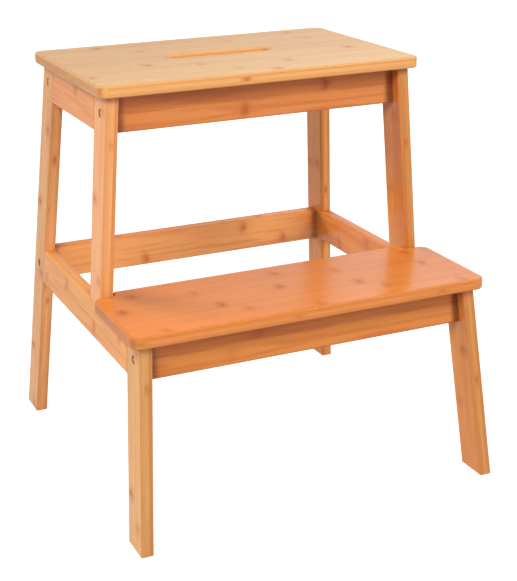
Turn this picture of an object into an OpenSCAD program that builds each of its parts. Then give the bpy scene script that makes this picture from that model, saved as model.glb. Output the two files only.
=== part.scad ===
// Two-tread step stool in laminated bamboo.
// Two flat side frames lean in towards each other, four cross rails tie them
// together, and two boards with rounded corners lie on top of the frames.
// +X is the user's right, +Y is the back, +Z is up. The origin lies on the
// floor, in the middle of the footprint.

/* [Overall size] */
// Height of the top board's upper face above the floor
stool_h = 500; // [470:1:530]
// Height of the lower tread's upper face above the floor
step_h = 254; // [230:1:270]
// Width across the outer faces of the feet
foot_w = 463; // [430:1:500]
// Depth from the front edge of the front feet to the rear edge of the rear feet
foot_d = 470; // [460:1:500]
// Inward lean of each side frame in degrees
splay = 4.5; // [2:0.5:6]
// Lean of the rear legs and lower front legs within their frame in degrees
rake = 7; // [5:0.5:8]
// Distance from the front feet back to the front edge of the upper front legs
upper_leg_back = 161.5; // [150:0.5:175]

/* [Boards] */
// Thickness of both boards
board_t = 14; // [12:0.5:16]
// How far the boards stand out over the frames' outer faces
overhang_x = 11; // [6:0.5:16]
// How far the boards stand out over the legs' front and rear edges
overhang_y = 10; // [6:0.5:16]
// Corner radius of the boards, seen from above
corner_r = 12; // [8:1:20]
// Radius on the long edges of the boards
board_ease = 2.5; // [1:0.5:4]
// Gap between the lower tread's notches and the upper front legs
notch_gap = 1.5; // [0.5:0.5:3]
// How far the lower tread's tongue reaches behind the legs' front edges
tongue_back = 12; // [6:1:18]

/* [Hand slot] */
// Length of the hand slot
slot_l = 140; // [100:1:160]
// Width of the hand slot
slot_w = 25; // [22:1:34]
// How far the slot sits behind the middle of the top board
slot_back = 10; // [0:1:20]

/* [Frame stock] */
// Thickness of the legs and rails
stock_t = 15; // [14:0.5:18]
// Width of the legs
leg_w = 43; // [40:1:48]
// Height of the rails below the boards
rail_h = 45; // [42:1:50]
// Radius on the long edges of the legs and rails
stock_ease = 2; // [1:0.5:2.5]

/* [Fasteners] */
// Diameter of the frame dowels
dowel_d = 8; // [6:1:8]
// Length of the frame dowels
dowel_l = 30; // [26:1:34]
// Shank diameter of the connecting screws
screw_d = 7; // [6:0.5:7]
// Length of the connecting screws, head included
screw_l = 50; // [45:1:60]
// Head diameter of the connecting screws
screw_head_d = 10; // [9:0.5:11]
// Shank diameter of the screws that hold the boards from below
board_screw_d = 4; // [3.5:0.5:4.5]
// Length of the screws that hold the boards from below
board_screw_l = 33; // [30:1:33]

/* [Hidden] */
$fn = 48;

left = -1;
right = 1;

board_colour = [0.92, 0.74, 0.55];
step_colour = [0.94, 0.64, 0.44];
frame_colour = [0.91, 0.63, 0.40];
rail_colour = [0.87, 0.55, 0.32];
dowel_colour = [0.86, 0.73, 0.54];
zinc_colour = [0.78, 0.64, 0.40];

// Undersides of the two boards, where the frames end
top_under = stool_h - board_t;
step_under = step_h - board_t;

// Lean of the cross rails, measured square to the X axis
rail_lean = atan(tan(rake) / cos(splay));

// Clearances that keep the fasteners free of their bores
bore_gap = 0.1;
end_gap = 0.5;
// Length used for cutting blocks that run clear of the stool
clear = 700;

// ---- Places in a side frame --------------------------------------------
// A frame is drawn flat: x is 0 on its outer face and negative inside,
// y runs to the back and v runs up the slope of the frame.

// Slope height of the level plane z at depth x in the frame
function slope_v(z, x = 0) = (z - x * sin(splay)) / cos(splay);

// Width of a leaning leg where a level plane crosses it
leg_level_w = leg_w / cos(rake);

upper_leg_front_y = upper_leg_back - foot_d / 2;
upper_leg_y = upper_leg_front_y + leg_w / 2;

// Middle lines and inner edges of the leaning legs at slope height v
function rear_leg_y(v) = foot_d / 2 - leg_level_w / 2 - v * tan(rake);
function front_leg_y(v) = -rear_leg_y(v);
function rear_leg_edge_y(v) = rear_leg_y(v) - leg_level_w / 2;
function front_leg_edge_y(v) = -rear_leg_edge_y(v);

// Distance between the frames' inner faces and the middle of the stool
function inner_x(z) = foot_w / 2 - stock_t / cos(splay) - z * tan(splay);
function outer_x(z) = foot_w / 2 - z * tan(splay);

// ---- Boards' outlines ----------------------------------------------------
top_half_w = outer_x(top_under) + overhang_x;
top_front_y = upper_leg_front_y - overhang_y;
top_rear_y = foot_d / 2 - top_under * tan(rail_lean) + overhang_y;
slot_y = (top_front_y + top_rear_y) / 2 + slot_back;

step_half_w = outer_x(step_under) + overhang_x;
step_front_y = -foot_d / 2 + step_under * tan(rail_lean) - overhang_y;
step_notch_y = upper_leg_front_y - notch_gap;
tongue_half_w = inner_x(step_h) - notch_gap;
tongue_rear_y = upper_leg_front_y + tongue_back;
tongue_corner_r = 5;

// ---- Cross rails ---------------------------------------------------------
// A leaning apron is cut level along its top, so its blank is a little taller
apron_blank_h = rail_h + stock_t * sin(rail_lean);
apron_drop = apron_blank_h / 2 * cos(rail_lean) - stock_t / 2 * sin(rail_lean);
cross_rail_drop = rail_h / 2 * cos(rail_lean) + stock_t / 2 * sin(rail_lean);

// Heights of the four cross rails' middle lines
upper_front_z = top_under - rail_h / 2;
upper_rear_z = top_under - apron_drop;
lower_front_z = step_under - apron_drop;
rear_cross_z = step_under - cross_rail_drop;

// Each cross rail joint: slope height, depth, lean within the frame
function joint_v(z) = slope_v(z, -stock_t);
upper_front_joint = [upper_leg_y, joint_v(upper_front_z), 0];
upper_rear_joint = [rear_leg_y(joint_v(upper_rear_z)), joint_v(upper_rear_z), rake];
lower_front_joint = [front_leg_y(joint_v(lower_front_z)), joint_v(lower_front_z), -rake];
rear_cross_joint = [rear_leg_y(joint_v(rear_cross_z)), joint_v(rear_cross_z), rake];
cross_joints = [upper_front_joint, upper_rear_joint, lower_front_joint, rear_cross_joint];

// Dowels above and below each connecting screw
cross_dowel_offset = 13.5;
cross_dowel_in_leg = 10;
// Depth of the connecting screw's head below the outer face, and its height
head_recess = 0.8;
head_h = 3;
socket_af = 4;
socket_depth = 2.4;

// ---- Side rails ----------------------------------------------------------
top_rail_low_z = top_under - rail_h;
step_rail_low_z = step_under - rail_h;
top_rail_mid_v = slope_v((top_under + top_rail_low_z) / 2, -stock_t / 2);
step_rail_mid_v = slope_v((step_under + step_rail_low_z) / 2, -stock_t / 2);
side_dowel_offset = 11;
leg_foot_dowel_offset = 10;

// Each side rail joint: depth, slope height, lean of the leg's edge
top_rear_seat = [rear_leg_edge_y(top_rail_mid_v), top_rail_mid_v, rake];
top_front_seat = [upper_leg_y + leg_w / 2, top_rail_mid_v, 0];
step_rear_seat = [rear_leg_edge_y(step_rail_mid_v), step_rail_mid_v, rake];
step_front_seat = [front_leg_edge_y(step_rail_mid_v), step_rail_mid_v, -rake];
side_seats = [top_rear_seat, top_front_seat, step_rear_seat, step_front_seat];

// ---- Screws that hold the boards -----------------------------------------
board_screw_grip = 23;
board_screw_head_d = 8;
board_screw_head_h = 2.6;
board_screw_bore_d = 9;
top_screw_x = 120;
step_screw_x = 140;
step_side_screw_y = -118;

// ---- Shapes used by several pieces ---------------------------------------
function unit(p) = p / norm(p);
function edge_normal(p, q) = let (d = unit(q - p)) [d.y, -d.x];

// Convex outline, given anticlockwise, with every corner rounded to radius r
module rounded_outline(points, r) {
  last = len(points) - 1;
  before = [for (i = [0:last]) edge_normal(points[i == 0 ? last : i - 1], points[i])];
  after = [for (i = [0:last]) edge_normal(points[i], points[i == last ? 0 : i + 1])];
  centres = [
    for (i = [0:last])
      points[i] - (before[i] + after[i]) * r / (1 + before[i] * after[i])
  ];
  polygon([
    for (i = [0:last])
      for (n = [before[i], after[i]])
        centres[i] + n * r
  ]);
  for (c = centres)
    translate(c) circle(r);
}

module rounded_bar(w, d, r) {
  rounded_outline([[-w / 2, -d / 2], [w / 2, -d / 2], [w / 2, d / 2], [-w / 2, d / 2]], r);
}

// Half section of a board's rim, from the corner's centre out to the edge,
// and by lap further in where it has to run into the board's core
module rim_section(r, lap = 0) {
  translate([-lap, 0]) square([r - board_ease + lap, board_t]);
  translate([0, board_ease]) square([r, board_t - 2 * board_ease]);
  for (z = [board_ease, board_t - board_ease])
    translate([r - board_ease, z]) circle(board_ease);
}

// How far a board's rim runs into its core
core_lap = 1;

// Board lying on z = 0, with rounded corners and eased upper and lower edges
module eased_board(half_w, front_y, rear_y, r) {
  depth = rear_y - front_y;
  translate([r - half_w, front_y + r, 0]) cube([2 * (half_w - r), depth - 2 * r, board_t]);
  for (side = [0, 1]) {
    mirror([side, 0, 0])
      translate([half_w - r, rear_y - r, 0])
        rotate([90, 0, 0]) linear_extrude(depth - 2 * r) rim_section(r, core_lap);
    translate([0, side * (front_y + rear_y), 0])
      mirror([0, side, 0])
        translate([r - half_w, rear_y - r, 0])
          rotate([90, 0, 90]) linear_extrude(2 * (half_w - r)) rim_section(r, core_lap);
    mirror([side, 0, 0]) {
      translate([half_w - r, rear_y - r, 0])
        rotate_extrude(angle = 90) rim_section(r);
      translate([half_w - r, front_y + r, 0])
        rotate([0, 0, -90]) rotate_extrude(angle = 90) rim_section(r);
    }
  }
}

// Long hole with round ends through a board lying on z = 0, rims eased
module hand_slot() {
  end_r = slot_w / 2;
  straight = slot_l - slot_w;
  for (side = [0, 1])
    mirror([side, 0, 0])
      translate([straight / 2, 0, 0]) {
        translate([0, 0, -1]) cylinder(r = end_r, h = board_t + 2);
        rotate([0, 0, -90]) rotate_extrude(angle = 180) slot_flare(end_r);
      }
  translate([-straight / 2, -end_r, -1]) cube([straight, slot_w, board_t + 2]);
  for (side = [0, 1])
    mirror([0, side, 0])
      translate([-straight / 2, 0, 0])
        rotate([90, 0, 90]) linear_extrude(straight) slot_flare(end_r);
}

// What the easing takes from the slot's two rims, from radius r outwards
module slot_flare(r) {
  difference() {
    for (z = [0, board_t - board_ease])
      translate([r - 1, z]) square([board_ease + 1, board_ease]);
    for (z = [board_ease, board_t - board_ease])
      translate([r + board_ease, z]) circle(board_ease);
  }
}

// Puts flat frame drawings in place on the chosen side of the stool
module in_frame(side) {
  mirror([side == left ? 1 : 0, 0, 0])
    translate([foot_w / 2, 0, 0]) rotate([0, -splay, 0]) children();
}

// Keeps what lies between two level planes
module between_levels(low, high) {
  intersection() {
    children();
    translate([-clear, -clear, low]) cube([2 * clear, 2 * clear, high - low]);
  }
}

// Leg blank along a middle line through [y, v], leaning forwards by lean
module leg_blank(y, v, lean) {
  translate([-stock_t / 2, y, v])
    rotate([lean, 0, 0])
      linear_extrude(2 * clear, center = true) rounded_bar(stock_t, leg_w, stock_ease);
}

// Side rail between two level planes, with its ends cut along the outline
// given as [y, v] points
module side_rail_blank(low, high, end_lines) {
  intersection() {
    translate([0, clear / 2, 0])
      rotate([90, 0, 0])
        linear_extrude(clear)
          rounded_outline([
            [-stock_t, slope_v(low, -stock_t)], [0, slope_v(low)],
            [0, slope_v(high)], [-stock_t, slope_v(high, -stock_t)]
          ], stock_ease);
    translate([-2 * stock_t, 0, 0])
      rotate([90, 0, 90]) linear_extrude(3 * stock_t) polygon(end_lines);
  }
}

// Cross rail with the given [y, z] section, ends cut to the frames' lean
module cross_rail_blank(section) {
  intersection() {
    translate([-foot_w / 2, 0, 0])
      rotate([90, 0, 90]) linear_extrude(foot_w) rounded_outline(section, stock_ease);
    rotate([90, 0, 0])
      linear_extrude(2 * foot_d, center = true)
        polygon([
          [-inner_x(0), 0], [inner_x(0), 0],
          [inner_x(stool_h), stool_h], [-inner_x(stool_h), stool_h]
        ]);
  }
}

// Corner of a leaning rail's section, a along its front normal and b upwards
function rail_corner(mid, lean, a, b) =
  mid + a * [-cos(lean), -sin(lean)] + b * [-sin(lean), cos(lean)];

// Where the line through a corner, leaning with the rail, meets height z
function at_level(corner, lean, z) = [corner.x - (z - corner.y) * tan(lean), z];

function rail_section(mid, lean) = [
  rail_corner(mid, lean, stock_t / 2, -rail_h / 2),
  rail_corner(mid, lean, -stock_t / 2, -rail_h / 2),
  rail_corner(mid, lean, -stock_t / 2, rail_h / 2),
  rail_corner(mid, lean, stock_t / 2, rail_h / 2)
];

// Section of a leaning apron whose top is cut level under a board
function apron_section(mid, lean, top) = let (
  front = rail_corner(mid, lean, stock_t / 2, -apron_blank_h / 2),
  back = rail_corner(mid, lean, -stock_t / 2, -apron_blank_h / 2)
) [front, back, at_level(back, lean, top), at_level(front, lean, top)];

// ---- Bores and fasteners -------------------------------------------------
// Places something on a cross rail joint, pointing into the stool along -X
module at_cross_joint(side, joint) {
  in_frame(side)
    translate([0, joint[0], joint[1]])
      rotate([joint[2], 0, 0]) children();
}

// Solid or bore along -X from depth start to depth end below the outer face
module along_joint(start, end, d) {
  translate([-end, 0, 0]) rotate([0, 90, 0]) cylinder(d = d, h = end - start);
}

module cross_joint_bores(side, joint) {
  at_cross_joint(side, joint) {
    along_joint(-1, head_recess + head_h, screw_head_d + 2 * bore_gap);
    along_joint(0, head_recess + screw_l + end_gap, screw_d + 2 * bore_gap);
    for (b = [-cross_dowel_offset, cross_dowel_offset])
      translate([0, 0, b])
        along_joint(
          stock_t - cross_dowel_in_leg - end_gap,
          stock_t - cross_dowel_in_leg + dowel_l + end_gap,
          dowel_d + 2 * bore_gap
        );
  }
}

// Turned profile along +Z: flat head, shank and a short point
module screw_profile(head_r, head_height, shank_r, length) {
  rotate_extrude()
    polygon([
      [0, 0], [head_r, 0], [head_r, head_height], [shank_r, head_height],
      [shank_r, length - shank_r], [shank_r / 3, length], [0, length]
    ]);
}

module connecting_screw() {
  translate([-head_recess, 0, 0])
    rotate([0, -90, 0])
      difference() {
        screw_profile(screw_head_d / 2, head_h, screw_d / 2, screw_l);
        translate([0, 0, -1]) cylinder(d = socket_af / cos(30), h = socket_depth + 1, $fn = 6);
      }
}

// Dowel along +Z from z = 0 with chamfered ends
module dowel() {
  chamfer = 1;
  r = dowel_d / 2;
  rotate_extrude()
    polygon([
      [0, 0], [r - chamfer, 0], [r, chamfer],
      [r, dowel_l - chamfer], [r - chamfer, dowel_l], [0, dowel_l]
    ]);
}

// Places something on both dowel lines of a side rail joint. The dowel's
// middle is at the origin and its length runs along +Z.
module at_side_seat(side, seat) {
  in_frame(side)
    translate([-stock_t / 2, seat[0], seat[1]])
      rotate([seat[2], 0, 0])
        for (b = [-side_dowel_offset, side_dowel_offset])
          translate([0, 0, b]) rotate([90, 0, 0]) children();
}

// Places something on both dowel lines under an upper front leg
module at_leg_foot(side) {
  in_frame(side)
    for (b = [-leg_foot_dowel_offset, leg_foot_dowel_offset])
      translate([-stock_t / 2, upper_leg_y + b, slope_v(step_under, -stock_t / 2)])
        children();
}

module dowel_bore() {
  cylinder(d = dowel_d + 2 * bore_gap, h = dowel_l + 2 * end_gap, center = true);
}

module centred_dowel() {
  translate([0, 0, -dowel_l / 2]) dowel();
}

// Places something where a board screw meets the underside of its board
module at_board_screw(x, y, z, lean) {
  translate([x, y, z]) rotate([lean, 0, 0]) children();
}

module at_top_screws() {
  for (x = [-top_screw_x, top_screw_x]) {
    at_board_screw(x, upper_leg_y, top_under, 0) children();
    at_board_screw(x, foot_d / 2 - leg_level_w / 2 - top_under * tan(rail_lean), top_under, rail_lean)
      children();
  }
}

module at_step_screws() {
  for (x = [-step_screw_x, step_screw_x])
    at_board_screw(x, leg_level_w / 2 - foot_d / 2 + step_under * tan(rail_lean), step_under, -rail_lean)
      children();
  for (side = [left, right])
    in_frame(side)
      translate([-stock_t / 2, step_side_screw_y, slope_v(step_under, -stock_t / 2)])
        children();
}

module board_screw() {
  translate([0, 0, -board_screw_grip - board_screw_head_h])
    screw_profile(
      board_screw_head_d / 2, board_screw_head_h, board_screw_d / 2,
      board_screw_l + board_screw_head_h
    );
}

// Clear hole in a rail with a deep counterbore from below, and the pilot
// hole in the board above it
module board_screw_bore() {
  cylinder(
    d = board_screw_d + 2 * bore_gap,
    h = 2 * (board_screw_l - board_screw_grip + end_gap), center = true
  );
  translate([0, 0, -board_screw_grip - 1])
    cylinder(d = board_screw_d + 2 * bore_gap, h = board_screw_grip + 1);
  translate([0, 0, -board_screw_grip - rail_h])
    cylinder(d = board_screw_bore_d, h = rail_h);
}

// ---- Boards --------------------------------------------------------------
module top_board() {
  color(board_colour)
    difference() {
      translate([0, 0, top_under]) {
        difference() {
          eased_board(top_half_w, top_front_y, top_rear_y, corner_r);
          translate([0, slot_y, 0]) hand_slot();
        }
      }
      at_top_screws() board_screw_bore();
    }
}

module step_board() {
  color(step_colour)
    difference() {
      translate([0, 0, step_under]) {
        eased_board(step_half_w, step_front_y, step_notch_y, corner_r);
        eased_board(tongue_half_w, step_front_y + corner_r, tongue_rear_y, tongue_corner_r);
      }
      at_step_screws() board_screw_bore();
    }
}

// ---- Legs ----------------------------------------------------------------
module rear_leg(side) {
  color(frame_colour)
    difference() {
      between_levels(0, top_under) in_frame(side) leg_blank(rear_leg_y(0), 0, rake);
      cross_joint_bores(side, upper_rear_joint);
      cross_joint_bores(side, rear_cross_joint);
      at_side_seat(side, top_rear_seat) dowel_bore();
      at_side_seat(side, step_rear_seat) dowel_bore();
    }
}

module upper_front_leg(side) {
  color(frame_colour)
    difference() {
      between_levels(step_under, top_under) in_frame(side) leg_blank(upper_leg_y, 0, 0);
      cross_joint_bores(side, upper_front_joint);
      at_side_seat(side, top_front_seat) dowel_bore();
      at_leg_foot(side) dowel_bore();
    }
}

module lower_front_leg(side) {
  color(frame_colour)
    difference() {
      between_levels(0, step_under) in_frame(side) leg_blank(front_leg_y(0), 0, -rake);
      cross_joint_bores(side, lower_front_joint);
      at_side_seat(side, step_front_seat) dowel_bore();
    }
}

// ---- Side rails ----------------------------------------------------------
module top_side_rail(side) {
  low_v = slope_v(top_rail_low_z) - rail_h;
  high_v = slope_v(top_under) + rail_h;
  front_y = upper_leg_y + leg_w / 2;
  color(rail_colour)
    difference() {
      in_frame(side)
        side_rail_blank(top_rail_low_z, top_under, [
          [front_y, low_v], [rear_leg_edge_y(low_v), low_v],
          [rear_leg_edge_y(high_v), high_v], [front_y, high_v]
        ]);
      at_side_seat(side, top_rear_seat) dowel_bore();
      at_side_seat(side, top_front_seat) dowel_bore();
    }
}

module lower_side_rail(side) {
  low_v = slope_v(step_rail_low_z) - rail_h;
  high_v = slope_v(step_under) + rail_h;
  color(rail_colour)
    difference() {
      in_frame(side)
        side_rail_blank(step_rail_low_z, step_under, [
          [front_leg_edge_y(low_v), low_v], [rear_leg_edge_y(low_v), low_v],
          [rear_leg_edge_y(high_v), high_v], [front_leg_edge_y(high_v), high_v]
        ]);
      at_side_seat(side, step_rear_seat) dowel_bore();
      at_side_seat(side, step_front_seat) dowel_bore();
      at_leg_foot(side) dowel_bore();
      at_step_screws() board_screw_bore();
    }
}

// ---- Cross rails ---------------------------------------------------------
module upper_front_apron() {
  color(rail_colour)
    difference() {
      cross_rail_blank(rail_section([upper_leg_y, upper_front_z], 0));
      for (side = [left, right])
        cross_joint_bores(side, upper_front_joint);
      at_top_screws() board_screw_bore();
    }
}

module upper_rear_apron() {
  color(rail_colour)
    difference() {
      cross_rail_blank(
        apron_section([upper_rear_joint[0], upper_rear_z], rail_lean, top_under)
      );
      for (side = [left, right])
        cross_joint_bores(side, upper_rear_joint);
      at_top_screws() board_screw_bore();
    }
}

module lower_front_apron() {
  color(rail_colour)
    difference() {
      cross_rail_blank(
        apron_section([lower_front_joint[0], lower_front_z], -rail_lean, step_under)
      );
      for (side = [left, right])
        cross_joint_bores(side, lower_front_joint);
      at_step_screws() board_screw_bore();
    }
}

module rear_cross_rail() {
  color(rail_colour)
    difference() {
      cross_rail_blank(rail_section([rear_cross_joint[0], rear_cross_z], rail_lean));
      for (side = [left, right])
        cross_joint_bores(side, rear_cross_joint);
    }
}

// ---- Fasteners -----------------------------------------------------------
module connecting_screws() {
  color(zinc_colour)
    for (side = [left, right])
      for (joint = cross_joints)
        at_cross_joint(side, joint) connecting_screw();
}

module cross_rail_dowels() {
  color(dowel_colour)
    for (side = [left, right])
      for (joint = cross_joints)
        at_cross_joint(side, joint)
          for (b = [-cross_dowel_offset, cross_dowel_offset])
            translate([cross_dowel_in_leg - stock_t - dowel_l, 0, b])
              rotate([0, 90, 0]) dowel();
}

module side_rail_dowels() {
  color(dowel_colour)
    for (side = [left, right])
      for (seat = side_seats)
        at_side_seat(side, seat) centred_dowel();
}

module leg_foot_dowels() {
  color(dowel_colour)
    for (side = [left, right])
      at_leg_foot(side) centred_dowel();
}

module top_board_screws() {
  color(zinc_colour)
    at_top_screws() board_screw();
}

module step_board_screws() {
  color(zinc_colour)
    at_step_screws() board_screw();
}

top_board();
step_board();
rear_leg(left);  // rear_leg_left
rear_leg(right);  // rear_leg_right
upper_front_leg(left);  // upper_front_leg_left
upper_front_leg(right);  // upper_front_leg_right
lower_front_leg(left);  // lower_front_leg_left
lower_front_leg(right);  // lower_front_leg_right
top_side_rail(left);  // top_side_rail_left
top_side_rail(right);  // top_side_rail_right
lower_side_rail(left);  // lower_side_rail_left
lower_side_rail(right);  // lower_side_rail_right
upper_front_apron();
upper_rear_apron();
lower_front_apron();
rear_cross_rail();
connecting_screws();
cross_rail_dowels();
side_rail_dowels();
leg_foot_dowels();
top_board_screws();
step_board_screws();
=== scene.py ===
from math import atan, cos, pi, radians, sin, tan

import bmesh
import bpy
from mathutils import Matrix, Vector


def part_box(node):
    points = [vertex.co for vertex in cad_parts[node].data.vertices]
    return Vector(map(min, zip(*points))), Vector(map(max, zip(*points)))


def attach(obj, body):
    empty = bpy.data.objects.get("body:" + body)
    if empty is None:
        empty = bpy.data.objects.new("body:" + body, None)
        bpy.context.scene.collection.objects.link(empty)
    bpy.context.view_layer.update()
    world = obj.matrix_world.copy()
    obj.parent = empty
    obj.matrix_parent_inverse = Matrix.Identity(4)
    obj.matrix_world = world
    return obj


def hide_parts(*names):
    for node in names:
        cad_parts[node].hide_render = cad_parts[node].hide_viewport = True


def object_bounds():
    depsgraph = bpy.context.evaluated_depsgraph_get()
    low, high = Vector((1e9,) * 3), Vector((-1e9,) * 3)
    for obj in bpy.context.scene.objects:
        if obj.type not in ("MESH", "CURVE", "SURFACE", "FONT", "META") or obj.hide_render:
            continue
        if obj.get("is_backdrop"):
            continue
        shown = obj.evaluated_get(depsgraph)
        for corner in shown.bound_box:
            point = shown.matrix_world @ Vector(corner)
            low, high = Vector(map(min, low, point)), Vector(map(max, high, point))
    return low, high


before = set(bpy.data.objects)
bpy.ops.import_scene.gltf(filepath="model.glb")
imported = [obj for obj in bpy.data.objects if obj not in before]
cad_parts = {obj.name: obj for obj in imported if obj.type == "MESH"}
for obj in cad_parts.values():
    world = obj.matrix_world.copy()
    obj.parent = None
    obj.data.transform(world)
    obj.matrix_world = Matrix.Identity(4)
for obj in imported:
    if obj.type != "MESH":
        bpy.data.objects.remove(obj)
cadLow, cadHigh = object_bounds()
scene = bpy.context.scene
print("frame loaded with", len(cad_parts), "nodes")

# Sizes that every piece is set out from, in metres
stool = {
    "splay": radians(4.5),
    "rake": radians(7),
    "thickness": 0.015,
    "legWidth": 0.043,
    "railHeight": 0.045,
    "footHalfWidth": cadHigh.x,
    "footHalfDepth": 0.235,
    "ease": 0.002, "easeSegments": 4,
    "sawnEase": 0.0005, "sawnSegments": 2,
    "sharpAngle": radians(50),
}
splay, rake, thickness = stool["splay"], stool["rake"], stool["thickness"]
topLow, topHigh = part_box("top_board")
stepLow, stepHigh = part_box("step_board")
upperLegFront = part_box("upper_front_leg_right")[0].y
legLevelWidth = stool["legWidth"] / cos(rake)
railLean = atan(tan(rake) / cos(splay))  # lean seen square to the cross rails
rearLegFootY = stool["footHalfDepth"] - legLevelWidth / 2
upperLegY = upperLegFront + stool["legWidth"] / 2
sideWord = {-1: "left", 1: "right"}


def frameMatrix(side):
    # Flat drawing of a side frame: x is 0 on its outer face, y to the back, z up the slope
    outerFace = Matrix.Translation((side * stool["footHalfWidth"], 0, 0))
    return outerFace @ Matrix.Rotation(-side * splay, 4, "Y")


def slopeHeight(level, depth=0.0):
    return (level + depth * sin(splay)) / cos(splay)


def rearLegY(slope):
    return rearLegFootY - slope * tan(rake)


# Shader helpers
def feed(tree, socket, value):
    if isinstance(value, bpy.types.NodeSocket):
        tree.links.new(value, socket)
    else:
        socket.default_value = value


def calc(tree, operation, *values, clamp=False):
    node = tree.nodes.new("ShaderNodeMath")
    node.operation = operation
    node.use_clamp = clamp
    for socket, value in zip(node.inputs, values):
        feed(tree, socket, value)
    return node.outputs[0]


def blendColour(tree, factor, first, second, blend="MIX"):
    node = tree.nodes.new("ShaderNodeMix")
    node.data_type = "RGBA"
    node.blend_type = blend
    feed(tree, node.inputs[0], factor)
    feed(tree, node.inputs[6], first)
    feed(tree, node.inputs[7], second)
    return node.outputs[2]


def tintColour(tree, colour, tint):
    return blendColour(tree, 1.0, colour, tint, "MULTIPLY")


def opaque(colour):
    return (*colour, 1)


def joinVector(tree, x, y, z):
    node = tree.nodes.new("ShaderNodeCombineXYZ")
    for socket, value in zip(node.inputs, (x, y, z)):
        feed(tree, socket, value)
    return node.outputs[0]


def splitVector(tree, vector):
    node = tree.nodes.new("ShaderNodeSeparateXYZ")
    tree.links.new(vector, node.inputs[0])
    return node.outputs


def splitColour(tree, colour):
    node = tree.nodes.new("ShaderNodeSeparateColor")
    tree.links.new(colour, node.inputs[0])
    return node.outputs


def fadeBetween(tree, value, low, high):
    # 0 below low, 1 above high, with soft ends
    node = tree.nodes.new("ShaderNodeMapRange")
    node.interpolation_type = "SMOOTHSTEP"
    for label, given in (("Value", value), ("From Min", low), ("From Max", high)):
        feed(tree, node.inputs[label], given)
    return node.outputs[0]


def noiseValue(tree, vector, detail, roughness=0.5, scale=1):
    node = tree.nodes.new("ShaderNodeTexNoise")
    for label, value in (
        ("Vector", vector), ("Scale", scale), ("Detail", detail), ("Roughness", roughness),
    ):
        feed(tree, node.inputs[label], value)
    return node.outputs["Fac"]


def bell(tree, distance, width):
    # 1 at no distance, falling away over the width to either side
    scaled = calc(tree, "DIVIDE", distance, width)
    squared = calc(tree, "MULTIPLY", scaled, scaled)
    return calc(tree, "EXPONENT", calc(tree, "MULTIPLY", squared, -1))


def makeGroup(name, inputs, outputs):
    group = bpy.data.node_groups.new(name, "ShaderNodeTree")
    for label, kind, value in inputs:
        socket = group.interface.new_socket(
            label, in_out="INPUT", socket_type="NodeSocket" + kind,
        )
        if value is not None:
            socket.default_value = value
    for label, kind in outputs:
        group.interface.new_socket(label, in_out="OUTPUT", socket_type="NodeSocket" + kind)
    given = group.nodes.new("NodeGroupInput").outputs
    return group, given, group.nodes.new("NodeGroupOutput").inputs


def placeGroup(tree, group, values):
    node = tree.nodes.new("ShaderNodeGroup")
    node.node_tree = group
    for label, value in values.items():
        feed(tree, node.inputs[label], value)
    return node.outputs


def principled(name):
    material = bpy.data.materials.new(name)
    material.use_nodes = True
    tree = material.node_tree
    return material, tree, tree.nodes["Principled BSDF"].inputs


plyCount = 3  # layers of bamboo in every piece


def makeStripGroup():
    # Finds the bamboo strip that a point lies in: across the blank, and through its plies
    group, given, result = makeGroup(
        "bambooStrips",
        [
            ("Blank", "Vector", None), ("Strip Width", "Float", 0.0225),
            ("Ply Depth", "Float", 0.005),
        ],
        [("Strip", "Float"), ("Ply", "Float"), ("Across", "Float"), ("Through", "Float")],
    )

    def do(operation, *values):
        return calc(group, operation, *values)

    wide, deep = splitVector(group, given["Blank"])[1:]
    depth = do("DIVIDE", do("MULTIPLY", deep, -1), given["Ply Depth"])
    ply = do("MINIMUM", do("MAXIMUM", do("FLOOR", depth), 0), plyCount - 1)
    stagger = do("MULTIPLY", do("PINGPONG", ply, 1.0), 0.5)  # half a strip in the middle ply
    across = do("ADD", do("DIVIDE", wide, given["Strip Width"]), stagger)
    joint = do("MINIMUM", do("MAXIMUM", do("ROUND", depth), 1), plyCount - 1)
    feed(group, result["Strip"], do("FLOOR", across))
    feed(group, result["Ply"], ply)
    feed(group, result["Across"], do("FRACT", across))
    feed(group, result["Through"], do("ABSOLUTE", do("SUBTRACT", depth, joint)))
    return group


# Figure of the bamboo in metres; noises in repeats for each metre along and across the grain
figure = {
    "fibre": {"along": 9, "across": 1300, "detail": 2, "roughness": 0.6},
    "bundle": {"along": 22, "across": 2600, "detail": 1, "roughness": 0.5, "edges": (0.58, 0.72)},
    "broad": {"along": 6, "across": 90, "detail": 2, "roughness": 0.5},
    "streak": {"along": 7, "across": 150, "detail": 2, "roughness": 0.5, "edges": (0.47, 0.62)},
    "stripSlip": 7.3, "plySlip": 3.7,  # how far the noises slip from strip to strip
    "knuckle": {
        "offCentre": 0.25, "bow": 0.009, "slant": 0.005,
        "waver": 0.005, "waverAcross": 300, "waverPlane": 3.0, "plyShift": 0.18,
        "halfWidth": 0.42, "least": 0.7, "spread": 0.3, "luckSeed": 5,
        "ringWidth": 0.0011, "ring": 0.35,
        "stainWidth": 0.0068, "stainBack": 0.001, "stain": 0.4, "stainFibre": 1.35,
    },
    "glue": {"width": 0.00028, "plyWidth": 0.0002, "ply": 0.6},
    "colour": {"fibre": 0.5, "broad": 0.7, "bundle": 0.15, "glue": 0.28},
    "roughness": {"fibre": 0.07, "glue": 0.2, "knuckle": 0.1},
    "height": {"fibre": 0.25, "glue": 0.8, "bundle": 0.15},
}


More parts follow.
